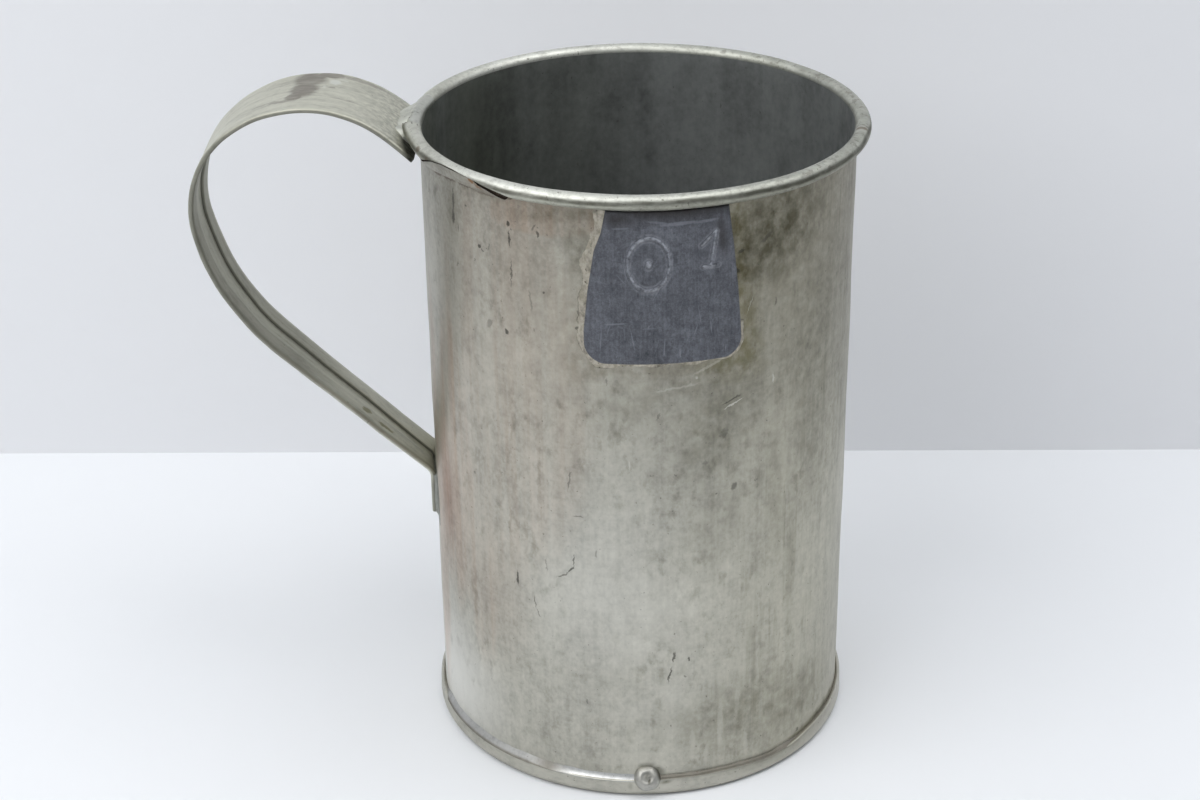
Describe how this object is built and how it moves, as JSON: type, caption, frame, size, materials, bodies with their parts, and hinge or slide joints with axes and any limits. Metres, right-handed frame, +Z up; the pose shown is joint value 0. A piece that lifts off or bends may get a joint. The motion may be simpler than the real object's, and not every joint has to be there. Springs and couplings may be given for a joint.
{
  "type": "metal measuring jug",
  "caption": "Straight-sided soldered tinplate measuring jug with a wired rim, a hemmed strap handle, a flanged base and lead verification seals.",
  "frame": {"origin": "centre of the base's underside, on the body's axis, at the table", "axes": "+Z up along the body's axis, the handle towards -X, the lead plate towards -Y"},
  "size_m": [0.1488, 0.101, 0.1515],
  "materials": {
    "tinplate_body": "aged tinplate, dull satin with vertical streaks",
    "tinplate_base": "aged tinplate, worn on its edge",
    "tinplate_handle": "aged tinplate, greenish grey and dull",
    "steel_wire": "drawn steel wire, hidden in the rim",
    "solder": "wiped soft solder, satin",
    "lead": "oxidised lead, dull with scratches"
  },
  "bodies": {
    "root": {"body_sheet": "tinplate_body", "rim_wire": "steel_wire", "rim_solder": "solder", "side_seam_solder": "solder", "base_pan": "tinplate_base", "base_seam_solder": "solder", "base_inner_solder": "solder", "handle_strap": "tinplate_handle", "handle_top_solder": "solder", "handle_foot_solder": "solder", "seal_plate": "lead", "seal_drop": "lead"}
  },
  "joints": []
}
